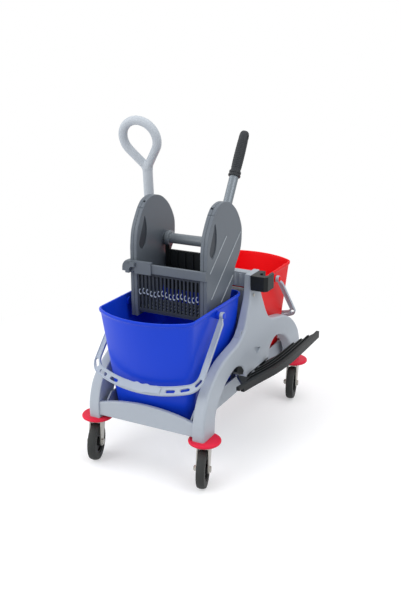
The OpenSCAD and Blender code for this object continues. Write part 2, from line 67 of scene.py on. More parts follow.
def spot(x, y, z):
    """A place on the trolley, in metres in the frame."""
    return Vector((x, y, z)) / 1000 + MIDDLE


def around(count):
    """The angles of a full turn in equal steps."""
    return [math.tau * i / count for i in range(count)]


def arc(x, y, r, start, sweep, steps):
    """Points of a flat arc, with both its ends."""
    turns = [start + sweep * i / steps for i in range(steps + 1)]
    return [(x + r * math.cos(turn), y + r * math.sin(turn)) for turn in turns]


def circle(x, y, z, r, count):
    """A ring about an axis that runs across the trolley."""
    return [spot(x, y + r * math.cos(turn), z + r * math.sin(turn)) for turn in around(count)]


def curve(points, steps):
    """A soft curve through the points given."""
    made = []
    for i in range(len(points) - 1):
        a, b = Vector(points[max(i - 1, 0)]), Vector(points[i])
        c, d = Vector(points[i + 1]), Vector(points[min(i + 2, len(points) - 1)])
        for k in range(steps):
            t = k / steps
            place = 2 * b + (c - a) * t + (2 * a - 5 * b + 4 * c - d) * t * t
            place += (3 * b - a - 3 * c + d) * t * t * t
            made.append(place / 2)
    return made + [Vector(points[-1])]


# Handling of pieces


def put_down():
    if bpy.context.object and bpy.context.object.mode != "OBJECT":
        bpy.ops.object.mode_set(mode="OBJECT")
    bpy.ops.object.select_all(action="DESELECT")


def pick_up(piece):
    put_down()
    piece.select_set(True)
    bpy.context.view_layer.objects.active = piece


def edit(piece, kind="FACE", everything=False):
    pick_up(piece)
    bpy.ops.object.mode_set(mode="EDIT")
    bpy.ops.mesh.select_mode(type=kind)
    bpy.ops.mesh.select_all(action="SELECT" if everything else "DESELECT")
    return bmesh.from_edit_mesh(piece.data)


def leave(piece):
    bmesh.update_edit_mesh(piece.data)
    bpy.ops.object.mode_set(mode="OBJECT")


def add_modifier(piece, kind, **settings):
    pick_up(piece)
    step = piece.modifiers.new(kind.lower(), kind)
    for key, value in settings.items():
        setattr(step, key, value)
    bpy.ops.object.modifier_apply(modifier=step.name)


def smooth(piece, angle=35):
    pick_up(piece)
    bpy.ops.object.shade_smooth_by_angle(angle=math.radians(angle))


def firm(piece):
    """Smooth shading in which the broad flat faces stay flat."""
    smooth(piece)
    add_modifier(piece, "WEIGHTED_NORMAL", keep_sharp=True, weight=80)


def round_edges(piece, width, segments):
    add_modifier(piece, "BEVEL", width=width / 1000, segments=segments, limit_method="ANGLE",
                 angle_limit=math.radians(30), harden_normals=False)
    firm(piece)


def round_rim(piece, width, segments, least):
    """Rounds the outline where a piece's broad side meets a wall that is at least this deep."""
    form = edit(piece, "EDGE")
    for edge in form.edges:
        if len(edge.link_faces) != 2:
            continue
        broad, wall = sorted(edge.link_faces, key=lambda face: -abs(face.normal.x))
        if abs(broad.normal.x) > 0.9 and abs(wall.normal.x) < 0.3:
            reach = [vert.co.x for vert in wall.verts]
            edge.select_set(max(reach) - min(reach) > least / 1000)
    form.select_flush_mode()
    bmesh.update_edit_mesh(piece.data)
    bpy.ops.mesh.bevel(offset=width / 1000, segments=segments, profile=0.5, affect="EDGES",
                       clamp_overlap=False)
    leave(piece)
    firm(piece)


def soften(piece, width):
    """A fine bevel on every edge of a block."""
    edit(piece, "EDGE", everything=True)
    bpy.ops.mesh.bevel(offset=width / 1000, segments=2, affect="EDGES")
    leave(piece)


def block(name, centre, size, turn):
    """A plain block in millimetres, turned about the X axis: a cutting tool, or the start of a black block
    of painted shade.
    """
    put_down()
    bpy.ops.mesh.primitive_cube_add(size=1, location=spot(*centre), rotation=(turn, 0, 0))
    piece = bpy.context.active_object
    piece.name = name
    piece.scale = [side / 1000 for side in size]
    bpy.ops.object.transform_apply(location=True, rotation=True, scale=True)
    return piece


def cut(piece, tool):
    add_modifier(piece, "BOOLEAN", operation="DIFFERENCE", solver="EXACT", object=tool)
    pick_up(tool)
    bpy.ops.object.delete()


def join(pieces, name):
    pick_up(pieces[0])
    for piece in pieces:
        piece.select_set(True)
    bpy.ops.object.join()
    pieces[0].name = name
    return pieces[0]


def copy_of(node, name):
    """A copy of a solid with its triangles merged into whole faces."""
    piece = bpy.data.objects.new(name, nodes[node].data.copy())
    scene.collection.objects.link(piece)
    edit(piece, "VERT", everything=True)
    bpy.ops.mesh.remove_doubles(threshold=0.00001)
    bpy.ops.mesh.dissolve_limited(angle_limit=math.radians(0.5))
    leave(piece)
    return piece


def settle(piece, body, slot, material, *replaced):
    """Gives a finished piece its finish, and the body that it moves with."""
    piece.data.materials.clear()
    piece.data.materials.append(material)
    for face in piece.data.polygons:
        face.material_index = 0
    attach(piece, body)
    if replaced:
        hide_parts(*replaced)


def paint(material, *names):
    """Gives solids that stay as they are their finish."""
    for name in names:
        mesh = nodes[name].data
        mesh.materials.clear()
        mesh.materials.append(material)
        smooth(nodes[name])


def loft(name, rings):
    """A closed form drawn out of a flat outline, ring by ring."""
    put_down()
    bpy.ops.mesh.primitive_circle_add(vertices=len(rings[0]), radius=0.1, fill_type="NGON")
    piece = bpy.context.active_object
    piece.name = name
    form = edit(piece, "FACE", everything=True)
    for number, ring in enumerate(rings):
        if number:
            bpy.ops.mesh.extrude_region_move()
            form = bmesh.from_edit_mesh(piece.data)
        end = next(face for face in form.faces if face.select)
        for vert, point in zip(end.verts, ring):
            vert.co = point
        bmesh.update_edit_mesh(piece.data)
    bpy.ops.mesh.select_all(action="SELECT")
    bpy.ops.mesh.normals_make_consistent(inside=False)
    leave(piece)
    smooth(piece)
    return piece


# Finishes

COLOUR, NUMBER = "NodeSocketColor", "NodeSocketFloat"


def make_group(name, inputs, outputs):
    group = bpy.data.node_groups.new(name, "ShaderNodeTree")
    for socket, kind, value in inputs:
        made = group.interface.new_socket(name=socket, in_out="INPUT", socket_type=kind)
        made.default_value = value
    for socket, kind in outputs:
        group.interface.new_socket(name=socket, in_out="OUTPUT", socket_type=kind)
    return group, group.nodes.new("NodeGroupInput"), group.nodes.new("NodeGroupOutput")


def add_node(tree, kind, **values):
    made = tree.nodes.new("ShaderNode" + kind)
    for socket, value in values.items():
        made.inputs[socket].default_value = value
    return made


def wire(tree, start, end):
    tree.links.new(start, end)


def feed(tree, value, socket):
    """Gives a socket either a plain value or a link."""
    if hasattr(value, "links"):
        wire(tree, value, socket)
    else:
        socket.default_value = value


def maths(tree, operation, *values):
    made = add_node(tree, "Math")
    made.operation = operation
    for value, socket in zip(values, made.inputs):
        feed(tree, value, socket)
    return made.outputs[0]


def noise(tree, vector, scale, detail, roughness=0.5):
    made = add_node(tree, "TexNoise", Detail=detail, Roughness=roughness)
    wire(tree, vector, made.inputs["Vector"])
    feed(tree, scale, made.inputs["Scale"])
    return made.outputs["Fac"]


def moulded_skin():
    """Cloudy colour, uneven sheen and a fine moulded grain."""
    tree, given, result = make_group(
        "moulded skin",
        [("Colour", COLOUR, (0.5, 0.5, 0.5, 1)), ("Cloud", NUMBER, 0.06), ("Sheen", NUMBER, 0.4),
         ("Spread", NUMBER, 0.08), ("Grain Scale", NUMBER, 900.0)],
        [("Colour", COLOUR), ("Roughness", NUMBER), ("Height", NUMBER)])
    place = add_node(tree, "TexCoord").outputs["Object"]
    broad = noise(tree, place, 9.0, 4.0)
    fine = noise(tree, place, 70.0, 3.0)
    grain = noise(tree, place, given.outputs["Grain Scale"], 2.0)
    mixed = maths(tree, "ADD", maths(tree, "MULTIPLY", broad, 0.65), maths(tree, "MULTIPLY", fine, 0.35))
    swing = maths(tree, "MULTIPLY_ADD", maths(tree, "SUBTRACT", mixed, 0.5), given.outputs["Cloud"], 1.0)
    shade = add_node(tree, "VectorMath")
    shade.operation = "SCALE"
    wire(tree, given.outputs["Colour"], shade.inputs[0])
    wire(tree, swing, shade.inputs["Scale"])
    wire(tree, shade.outputs[0], result.inputs["Colour"])
    uneven = maths(tree, "MULTIPLY", maths(tree, "SUBTRACT", mixed, 0.5), given.outputs["Spread"])
    wire(tree, maths(tree, "ADD", uneven, given.outputs["Sheen"]), result.inputs["Roughness"])
    wire(tree, maths(tree, "ADD", grain, maths(tree, "MULTIPLY", fine, 0.4)), result.inputs["Height"])
    return tree


def scuffed():
    """A mask of short rubbed streaks."""
    tree, given, result = make_group(
        "scuffed", [("Amount", NUMBER, 0.5), ("Scale", NUMBER, 30.0)], [("Mask", NUMBER)])
    place = add_node(tree, "TexCoord").outputs["Object"]
    stretch = add_node(tree, "Mapping", Rotation=(0.5, 0.3, 0.7), Scale=(1.0, 6.0, 2.0))
    wire(tree, place, stretch.inputs["Vector"])
    streaks = noise(tree, stretch.outputs[0], given.outputs["Scale"], 5.0, 0.65)
    patches = noise(tree, place, 6.0, 2.0)
    both = maths(tree, "MULTIPLY", streaks, patches)
    edge = add_node(tree, "MapRange")
    edge.inputs["From Min"].default_value = 0.33
    edge.inputs["From Max"].default_value = 0.45
    wire(tree, both, edge.inputs["Value"])
    wire(tree, maths(tree, "MULTIPLY", edge.outputs[0], given.outputs["Amount"]), result.inputs["Mask"])
    return tree


SKIN = moulded_skin()
SCUFF = scuffed()


def finish(name, colour, sheen, cloud=0.08, spread=0.1, grain=900.0, depth=0.1, scuff=0.0,
           scuff_colour=(0.6, 0.6, 0.6), metal=0.0, level=0.5):
    """A material with the moulded skin, and with rubbed streaks where scuff is over 0."""
    material = bpy.data.materials.new(name)
    material.use_nodes = True
    tree = material.node_tree
    shader = tree.nodes["Principled BSDF"]
    shader.inputs["Metallic"].default_value = metal
    shader.inputs["Specular IOR Level"].default_value = level
    skin = add_node(tree, "Group")
    skin.node_tree = SKIN
    skin.inputs["Colour"].default_value = (*colour, 1)
    skin.inputs["Cloud"].default_value = cloud
    skin.inputs["Sheen"].default_value = sheen
    skin.inputs["Spread"].default_value = spread
    skin.inputs["Grain Scale"].default_value = grain
    tone, rough = skin.outputs["Colour"], skin.outputs["Roughness"]
    if scuff:
        rubbed = add_node(tree, "Group")
        rubbed.node_tree = SCUFF
        rubbed.inputs["Amount"].default_value = scuff
        mix = add_node(tree, "Mix")
        mix.data_type = "RGBA"
        wire(tree, rubbed.outputs["Mask"], mix.inputs["Factor"])
        wire(tree, tone, mix.inputs["A"])
        mix.inputs["B"].default_value = (*scuff_colour, 1)
        tone = mix.outputs["Result"]
        rough = maths(tree, "MULTIPLY_ADD", rubbed.outputs["Mask"], 0.2, rough)
    wire(tree, tone, shader.inputs["Base Color"])
    wire(tree, rough, shader.inputs["Roughness"])
    bump = add_node(tree, "Bump", Strength=depth, Distance=0.0006)
    wire(tree, skin.outputs["Height"], bump.inputs["Height"])
    wire(tree, bump.outputs[0], shader.inputs["Normal"])
    return material


GREY = finish("chassis grey", (0.405, 0.445, 0.5), 0.45, cloud=0.1, scuff=0.25,
              scuff_colour=(0.34, 0.365, 0.4), level=0.3)
HANDLE = finish("handle grey", (0.45, 0.485, 0.53), 0.42, cloud=0.08, depth=0.03, level=0.3)
CORAL = finish("bumper red", (0.72, 0.02, 0.055), 0.45, cloud=0.1, scuff=0.3,
               scuff_colour=(0.5, 0.025, 0.05), level=0.14)
ZINC = finish("zinc plate", (0.46, 0.45, 0.41), 0.36, cloud=0.25, spread=0.3, grain=500.0, metal=0.7)
HUB = finish("hub plastic", (0.012, 0.012, 0.013), 0.5, level=0.2)
TYRE = finish("tyre rubber", (0.036, 0.038, 0.037), 0.65, cloud=0.3, grain=1200.0, depth=0.2, scuff=0.35,
              scuff_colour=(0.075, 0.075, 0.072), level=0.2)
# Black plastic of the clip, rest, hook and jaw; also used as painted shade in the panels' slots and the
# cheeks' edge holes
BLACK = finish("black plastic and painted shade", (0.009, 0.011, 0.012), 0.45, cloud=0.2, depth=0.15, scuff=0.2,
               scuff_colour=(0.022, 0.024, 0.026), level=0.2)
BLUE = finish("bucket blue", (0.006, 0.05, 0.6), 0.32, cloud=0.1, depth=0.05, level=0.18)
RED = finish("bucket red", (0.82, 0.0005, 0.004), 0.42, cloud=0.1, depth=0.05, level=0.1)
PALE = finish("bail grey", (0.38, 0.43, 0.5), 0.38, cloud=0.08, level=0.35)
DARK = finish("wringer grey", (0.12, 0.138, 0.162), 0.42, cloud=0.12, depth=0.14, scuff=0.25,
              scuff_colour=(0.16, 0.18, 0.2), level=0.25)
# Dark grey of the grille; the same material is also painted shade, as the dark sheets at the bottom of the
# drop-shaped recesses
GRILLE_GREY_AND_SHADE = finish("grille grey and painted shade", (0.04, 0.047, 0.058), 0.45, cloud=0.15, depth=0.14, level=0.2)
# Lighter grey of the beads on the cheek covers: a painted highlight where the beads catch the light
RIB = finish("rib painted highlight", (0.34, 0.37, 0.4), 0.45, cloud=0.2, depth=0.14, level=0.25)
ALLOY = finish("lever alloy", (0.17, 0.195, 0.22), 0.42, cloud=0.12, spread=0.2, metal=0.5, level=0.4)
GRIP = finish("grip rubber", (0.028, 0.031, 0.035), 0.5, cloud=0.2, depth=0.2, level=0.2)
SHAFT = finish("shaft grey", (0.19, 0.215, 0.24), 0.36, cloud=0.12, depth=0.08, level=0.4)


# Buckets

# The plan at the floor and at the rim: half width, inner end, outer end and the outer end's bow
FLOOR_PLAN = (115, 41, 282, 12)
RIM_PLAN = (133, 25, 315, 50)
CORNER = 32

# The wall in section, from the foot over the lip to the floor: heights, and distances out from the plan
WALL = 3
LEVELS = (225, 290, 355)
FOOT_BEND = ((0, -7), (0.3, -3.5), (2.5, -0.9), (7, 0))
LIP_BEND = ((16, 0), (10.5, 0.1), (9.2, 0.7), (8.8, 2), (7.8, 2.8), (5.5, 3), (2.8, 2.9), (0.8, 2.1),
            (0, 0.6), (0, -1.2), (0.8, -2.5), (3, -WALL), (13, -WALL))
INSIDE_BEND = ((22, -WALL), (12, -4), (6.5, -8), (3.6, -14), (3, -22))


def plan(w, near, far, bow, r):
    """Points of a bucket's outline: straight sides and inner end, round corners and a bowed outer end."""
    big = (w * w + bow * bow) / (2 * bow)
    middle = far + bow - big
    high = middle + math.sqrt((big - r) ** 2 - (w - r) ** 2)
    turn = math.atan2(high - middle, w - r)
    side = [(w, near + r + (high - near - r) * i / 8) for i in range(8)]
    side += arc(w - r, high, r, 0, turn, 10)[:-1]
    points = side + arc(0, middle, big, turn, math.pi - 2 * turn, 24)
    points += [(-x, y) for x, y in reversed(side)]
    turns = [math.pi / 2 * i / 10 for i in range(1, 10)]
    bend = [(r * math.sin(turn), near + r - r * math.cos(turn)) for turn in turns]
    points += [(-w + r - x, y) for x, y in reversed(bend)]
    points += [(-w + r + 2 * (w - r) * i / 10, near) for i in range(11)]
    points += [(w - r + x, y) for x, y in bend]
    return points


def bucket_ring(side, z, out):
    t = (z - FLOOR) / (RIM - FLOOR)
    w, near, far, bow = (low + (high - low) * t for low, high in zip(FLOOR_PLAN, RIM_PLAN))
    points = plan(w + out, near - out, far + out * 0.6, bow + out * 0.4, CORNER + out * 0.9)
    return [spot(x, side * y, z) for x, y in points]


def make_bucket(colour, side, material):
    section = [(FLOOR + up, out) for up, out in FOOT_BEND]
    section += [(z, 0) for z in LEVELS]
    section += [(RIM - down, out) for down, out in LIP_BEND]
    section += [(z, -WALL) for z in reversed(LEVELS)]
    section += [(FLOOR + up, out) for up, out in INSIDE_BEND]
    piece = loft(colour + "_bucket_shell", [bucket_ring(side, z, out) for z, out in section])
    smooth(piece, 50)
    settle(piece, colour + "_bucket", "bucket_" + colour, material, colour + "_bucket")


def make_boss(colour, side, word, end, material):
    """The pivot boss on a bucket's wall, its pin and its head."""
    outline = [(124, 10), (142.6, 10), (143.4, 9.3), (143.5, 6), (153.2, 6), (153.3, 7.6), (153.9, 8),
               (154.8, 7.8), (155.3, 6.6)]
    rings = [circle(end * x, side * PIVOT_Y, PIVOT_Z, r, 40) for x, r in outline]
    piece = loft(colour + "_" + word + "_boss", rings)
    settle(piece, colour + "_bucket", "bucket_" + colour, material)


for colour, side, material in (("blue", -1, BLUE), ("red", 1, RED)):
    make_bucket(colour, side, material)
    for word, end in SIDES:
        make_boss(colour, side, word, end, material)


# Bails

# How far a bail hangs below level, its length from the pivots, and the band's width and radius at its bow
LEAN = math.radians(47)
REACH, BAND, BOW_RADIUS = 240.96, 24.0, 376
# The arms' faces, the place where they start to run straight, and the band's edges from the eyes to there
ARM_IN, ARM_OUT, ARM_START = 144.0, 159.0, 26
EYE_OUT = [(153.2, 4), (153.2, 9), (154.6, 13), (157, 18), (158.6, 22)]
EYE_IN = [(144.3, 4), (144.3, 9), (144.2, 13), (144.1, 18), (144, 22)]
EYE_OUTLINE = [(144.1, 9.0), (144.4, 9.8), (145, 10), (152.2, 10), (152.8, 9.8), (153.1, 9.0)]
EYE_BORE = 6.15
# Slots on each half of the band: inwards from the arm, back from the bow, tilt in degrees and length
SLOTS = ((77, 20, -12.5, 26), (40, 31, -22, 26), (11, 55, -62, 24))
SLOT_WIDTH = 9
# Under and upper face of the grip's pad, over the middle of the band
PAD_LOW, PAD_HIGH = 2.0, 4.7


def bail_edge(w, reach, r):
    """Half of one edge of the bail: the arm, the round corner and the bow up to its middle."""
    middle = REACH - BOW_RADIUS
    big = reach - middle
    x, y = w - r, middle + math.sqrt((big - r) ** 2 - (w - r) ** 2)
    end = math.atan2(y - middle, x)
    arm = [(w, ARM_START + (y - ARM_START) * i / 14) for i in range(14)]
    return arm + arc(x, y, r, 0, end, 14)[:-1] + arc(0, middle, big, end, math.pi / 2 - end, 20)


def bail_band(name, at):
    """The flat band with its raised borders, drawn along the bail from eye to eye."""
    outer = EYE_OUT + bail_edge(ARM_OUT, REACH, 46)
    inner = EYE_IN + bail_edge(ARM_IN, REACH - BAND, 30)
    outer += [(-x, y) for x, y in reversed(outer[:-1])]
    inner += [(-x, y) for x, y in reversed(inner[:-1])]
    rings = []
    for (ax, ay), (bx, by) in zip(outer, inner):
        half = math.hypot(ax - bx, ay - by) / 2
        nx, ny = (ax - bx) / half / 2, (ay - by) / half / 2
        border = [(half, 2.9), (half - 0.8, 3.75), (half - 2.3, 3.75), (half - 3.1, 2.5)]
        loop = border + [(-n, u) for n, u in reversed(border)]
        loop += [(-n, -u) for n, u in loop]
        rings.append([at((ax + bx) / 2 + n * nx, (ay + by) / 2 + n * ny, u) for n, u in loop])
    return loft(name, rings)


def stadium(at, x, y, tilt, length, width):
    """A round-ended peg across the bail's band; a tool for cutting."""
    c, s = math.cos(math.radians(tilt)), math.sin(math.radians(tilt))
    flat = []
    for turn in around(32):
        p = math.copysign((length - width) / 2, math.cos(turn)) + width / 2 * math.cos(turn)
        q = width / 2 * math.sin(turn)
        flat.append((x + p * c - q * s, y + p * s + q * c))
    return loft("slot tool", [[at(p, q, u) for p, q in flat] for u in (-12, 12)])


def pivot_rings(at, outline, count):
    """Rings about the bail's pivot line for an outline of places across the trolley and radii."""
    turns = around(count)
    return [[at(x, r * math.cos(turn), r * math.sin(turn)) for turn in turns] for x, r in outline]


def make_bail(colour, side):
    pivot = spot(0, side * PIVOT_Y, PIVOT_Z)
    out = Vector((0, side * math.cos(LEAN), -math.sin(LEAN)))
    up = Vector((0, side * math.sin(LEAN), math.cos(LEAN)))

    def at(x, y, u):
        return pivot + (Vector((x, 0, 0)) + out * y + up * u) / 1000

    name = colour + "_bail_band"
    band = bail_band(name, at)
    for end in (1, -1):
        for inward, back, tilt, length in SLOTS:
            tool = stadium(at, end * (ARM_OUT - inward), REACH - back, end * tilt, length, SLOT_WIDTH)
            cut(band, tool)
    eyes = []
    for end in (1, -1):
        eye = loft("eye", pivot_rings(at, [(end * x, r) for x, r in EYE_OUTLINE], 40))
        bore = [(end * 130, EYE_BORE), (end * 170, EYE_BORE)]
        cut(eye, loft("bore tool", pivot_rings(at, bore, 40)))
        eyes.append(eye)
    join([band, *eyes], name)
    firm(band)
    settle(band, colour + "_bail", "bail_grey", PALE, colour + "_bail")
    grip = copy_of(colour + "_bail_grip", colour + "_bail_pad")
    for vert in grip.data.vertices:
        level = (vert.co - pivot).dot(up) * 1000
        vert.co += up * ((PAD_HIGH if level > 5 else PAD_LOW) - level) / 1000
    round_edges(grip, 0.6, 2)
    settle(grip, colour + "_bail", "bail_grey", PALE, colour + "_bail_grip")


make_bail("blue", -1)
make_bail("red", 1)


# Chassis

# Half of a side panel's outline over the foot of its legs: the arch, then the outside up to the post
ARCH = [(78, 80), (84, 103), (104, 121), (140, 129), (195, 111), (235, 79), (255, 46), (260, 0)]
OUTSIDE = [(326, 0), (326, 40), (311, 88), (285, 123), (250, 150), (206, 171), (150, 184), (114, 191),
           (87, 205), (68, 228), (52, 258), (36, 292), (31, 330), (30, 354)]
# How far the outer face leans in over the shoulder, and then over the post
SHOULDER_LEAN, POST_LEAN = 4, 8
# The three-cornered recess over the middle, and the slot in each shoulder, with a black block in it as
# painted shade
RECESS = [(-23, LEG + 149), (21, LEG + 136), (-3, LEG + 123)]
SLOT_X, SLOT_Y, SLOT_Z = 149, 85, LEG + 204
SLOT_TILT = math.radians(-50.3)
# How far the cross bars are let into the panels' soft edges
LET_IN = 8


def panel_outline():
    half = curve(ARCH, 8) + curve(OUTSIDE, 8)
    return half + [Vector((-point.x, point.y)) for point in reversed(half)]


def drawn_in(outline, depth):
    """The outline moved inwards, with its lowest edges kept on the floor of the legs."""
    moved = []
    for i, point in enumerate(outline):
        before = (point - outline[i - 1]).normalized()
        after = (outline[(i + 1) % len(outline)] - point).normalized()
        first, second = Vector((-before.y, before.x)), Vector((-after.y, after.x))
        place = point + (first + second) * (depth / (1 + first.dot(second)))
        moved.append(Vector((place.x, 0.0)) if point.y < 0.01 else place)
    return moved


def soft_edge(face, r, steps):
    """A rounded edge in section: places across the trolley, and depths in from the outline."""
    turns = [math.radians(90 / steps * i) for i in range(steps + 1)]
    return [(face + r * (1 - math.cos(turn)), abs(r) * (1 - math.sin(turn))) for turn in turns]


def outer_face(z):
    """A side panel's outer face at a height."""
    if z < SHOULDER:
        return PANEL_OUT
    if z < NECK:
        return PANEL_OUT - SHOULDER_LEAN * (z - SHOULDER) / (NECK - SHOULDER)
    return PANEL_OUT - SHOULDER_LEAN - POST_LEAN * (z - NECK) / (TOP - NECK)


def make_panel(side, word):
    """A side panel with soft edges, a recess over its middle and a slot in each shoulder that a black block
    darkens as painted shade.
    """
    outline = panel_outline()
    rings = []
    for x, depth in soft_edge(PANEL_IN, 3, 5) + soft_edge(PANEL_OUT, -7, 6)[::-1]:
        rings.append([spot(side * x, point.x, LEG + point.y) for point in drawn_in(outline, depth)])
    piece = loft(word + "_panel_moulding", rings)
    for height in (SHOULDER, NECK):
        edit(piece, "FACE", everything=True)
        bpy.ops.mesh.bisect(plane_co=spot(0, 0, height), plane_no=(0, 0, 1))
        leave(piece)
    for vert in piece.data.vertices:
        thick = (outer_face(vert.co.z * 1000) - PANEL_IN) / (PANEL_OUT - PANEL_IN)
        across = side * (vert.co.x - MIDDLE.x) * 1000
        vert.co.x = spot(side * (PANEL_IN + (across - PANEL_IN) * thick), 0, 0).x
    cut(piece, loft("recess tool", [[spot(side * x, y, z) for y, z in RECESS] for x in (162, 180)]))
    shade_blocks = []
    for end in (-1, 1):
        place = (side * SLOT_X, end * SLOT_Y, SLOT_Z)
        cut(piece, block("slot tool", place, (16, 22, 12), end * SLOT_TILT))
        # A black block set into the slot: painted shade, so the slot reads dark
        shade_block = block(word + "_slot_shade_block", place, (16, 22, 8), end * SLOT_TILT)
        soften(shade_block, 1.2)
        shade_blocks.append(shade_block)
    shade_block = join(shade_blocks, word + "_slot_shade_block")
    firm(piece)
    firm(shade_block)
    settle(piece, "chassis", "chassis_grey", GREY, word + "_side_panel")
    settle(shade_block, "chassis", "black_plastic", BLACK)


def make_rest_hook():
    """The black hook that holds the mop rest to the front arch of the right panel."""
    flat = [(-133, 239), (-125, 251), (-104, 246), (-87, 228), (-93, 218), (-114, 225)]
    piece = loft("rest_hook", [[spot(x, y, z) for y, z in flat] for x in (150, 168)])
    round_edges(piece, 1.5, 2)
    settle(piece, "chassis", "black_plastic", BLACK)


def make_bar(word):
    """A cross bar, let into the side panels' soft edges at both ends."""
    piece = copy_of(word + "_bar", word + "_bar_moulding")
    for vert in piece.data.vertices:
        across = vert.co.x - MIDDLE.x
        if abs(across) > (PANEL_IN - 1) / 1000:
            vert.co.x += math.copysign(LET_IN / 1000, across)
    round_edges(piece, 3.0, 3)
    settle(piece, "chassis", "chassis_grey", GREY, word + "_bar")


def make_push_handle():
    """The loop handle, its legs and shaft run together in one smooth moulding."""
    piece = copy_of("push_handle", "loop_handle")
    add_modifier(piece, "REMESH", mode="VOXEL", voxel_size=0.0015, use_smooth_shade=True)
    add_modifier(piece, "SMOOTH", factor=0.5, iterations=60)
    settle(piece, "chassis", "chassis_grey", HANDLE, "push_handle")


for word, side in SIDES:
    make_panel(side, word)
make_rest_hook()
make_bar("front")
make_bar("rear")
make_push_handle()


# Wringer, with heights over the top of the bridge

# The drop-shaped recess in a cheek's face, and its depth
DROP = [(-150, 159), (-144, 140), (-142, 118), (-145, 97), (-152, 82), (-164, 74), (-175, 78), (-181, 89),
        (-177, 103), (-169, 120), (-158, 143), (-150, 159)]
DROP_DEPTH = 3
# The small hole near the top of a cheek's front edge and the groove below it, with the edge's slope at each
HOLE_X, HOLE_SLOPE = 98, math.radians(34)
GROOVE_X, GROOVE_SLOPE = 102, math.radians(51)
# The beads on a cheek's cover: their middle, slope in degrees and length, and the radii near each end
RIBS = ((-132.5, 74, 40, 122), (-86, 36, 39.6, 222), (-80, -30, 38.1, 92))
RIB_END = [(0, 0.5), (0.5, 1.1), (1.5, 1.5)]
RIB_RADIUS, RIB_SUNK = 1.5, 0.05
# The grille's slats and the gaps between them, and the place of the lugs in front of the gaps
SLAT, GAPS = 5, 16
LUG_Y, LUG_Z, LUG_WAVE = -193, 442, 3


def drop_form(name, first, last):
    """A drop-shaped peg through a cheek's face, from one place across the trolley to another."""
    flat = curve(DROP, 5)[:-1]
    return loft(name, [[spot(x, point.x, TOP + point.y) for point in flat] for x in (first, last)])


def mark_edge(piece, side):
    """A small hole and a shallow groove across the top of a cheek's front edge."""
    hole, groove = (side * HOLE_X, -139.7, TOP + 192), (side * GROOVE_X, -156, TOP + 179.3)
    cut(piece, block("hole tool", hole, (6.5, 6.5, 9), HOLE_SLOPE))
    cut(piece, block("groove tool", groove, (24, 2, 2.4), GROOVE_SLOPE))


def make_hole_shade_block(side, word):
    """A black block at the bottom of the small hole in a cheek's edge: painted shade that makes the hole
    read dark.
    """
    bottom = (side * HOLE_X, -137.5, TOP + 188.7)
    shade_block = block(word + "_edge_hole_shade", bottom, (7.1, 7.1, 1.6), HOLE_SLOPE)
    soften(shade_block, 0.3)
    firm(shade_block)
    settle(shade_block, "wringer", "wringer_grey", BLACK)


def make_shell(side, node, name, face, deep):
    """One shell of a cheek, with its drop-shaped recess and a dark sheet at the recess's bottom as painted
    shade.
    """
    piece = copy_of(node, name + "_moulding")
    round_rim(piece, 1.8, 3, 8)
    cut(piece, drop_form("drop tool", side * (face - deep), side * (face + deep)))
    mark_edge(piece, side)
    firm(piece)
    settle(piece, "wringer", "wringer_grey", DARK, node)
    # Painted shade: a dark sheet at the bottom of the recess, so that it reads deep and dark
    bottom = drop_form(name + "_drop", side * (face + deep * 0.75), side * (face + deep * 1.15))
    settle(bottom, "wringer", "wringer_grey", GRILLE_GREY_AND_SHADE)


def make_ribs(side, word):
    """Three slim raised beads across a cheek's cover, in a lighter grey as a painted highlight."""
    beads = []
    for y, z, slope, length in RIBS:
        along = Vector((0, math.cos(math.radians(slope)), math.sin(math.radians(slope))))
        across = Vector((0, -along.z, along.y))
        steps = RIB_END + [(length / 2, RIB_RADIUS)] + [(length - step, r) for step, r in reversed(RIB_END)]
        rings = []
        for step, r in steps:
            middle = Vector((0, y, TOP + z)) + along * (step - length / 2)
            ring = []
            for turn in around(10):
                place = middle + across * (r * math.cos(turn))
                x = side * (CHEEK_OUT - RIB_SUNK + r * math.sin(turn))
                ring.append(spot(x, place.y, place.z))
            rings.append(ring)
        beads.append(loft("bead", rings))
    settle(join(beads, word + "_cover_ribs"), "wringer", "wringer_grey", RIB)


def make_lugs():
    """A row of small curled lugs in front of the gaps between the grille's slats, in pale grey as painted
    glints.
    """
    pitch = (2 * CHEEK_IN - SLAT) / GAPS
    put_down()
    bpy.ops.mesh.primitive_torus_add(major_radius=0.0038, minor_radius=0.0011, major_segments=24,
                                     minor_segments=8, location=(0, 0, 0), rotation=(math.radians(90), 0, 0))
    first = bpy.context.active_object
    bpy.ops.object.transform_apply(location=False, rotation=True, scale=False)
    edit(first, "FACE", everything=True)
    bpy.ops.mesh.bisect(plane_co=(0.0012, 0, 0), plane_no=(1, 0, 0.35), use_fill=True, clear_outer=True)
    leave(first)
    for vert in first.data.vertices:
        vert.co.z *= 1.7
    row = []
    for i in range(GAPS):
        across = -CHEEK_IN + SLAT + i * pitch + (pitch - SLAT) / 2
        place = spot(across, LUG_Y, LUG_Z + LUG_WAVE * math.sin(i * 1.3))
        lug = bpy.data.objects.new("lug", first.data.copy())
        scene.collection.objects.link(lug)
        for vert in lug.data.vertices:
            vert.co = vert.co + place
        row.append(lug)
    pick_up(first)
    bpy.ops.object.delete()
    piece = join(row, "grille_lugs_painted_glints")
    smooth(piece)
    # The pale grey stands for the glints on the lugs: a painted highlight
    settle(piece, "wringer", "wringer_grey", PALE)


for word, side in SIDES:
    make_hole_shade_block(side, word)
    make_shell(side, word + "_inner_shell", word + "_inner", CHEEK_IN, DROP_DEPTH)
    make_shell(side, word + "_cheek_cover", word + "_cover", CHEEK_OUT, -DROP_DEPTH)
for word, side in SIDES:
    make_ribs(side, word)
make_lugs()


# Press

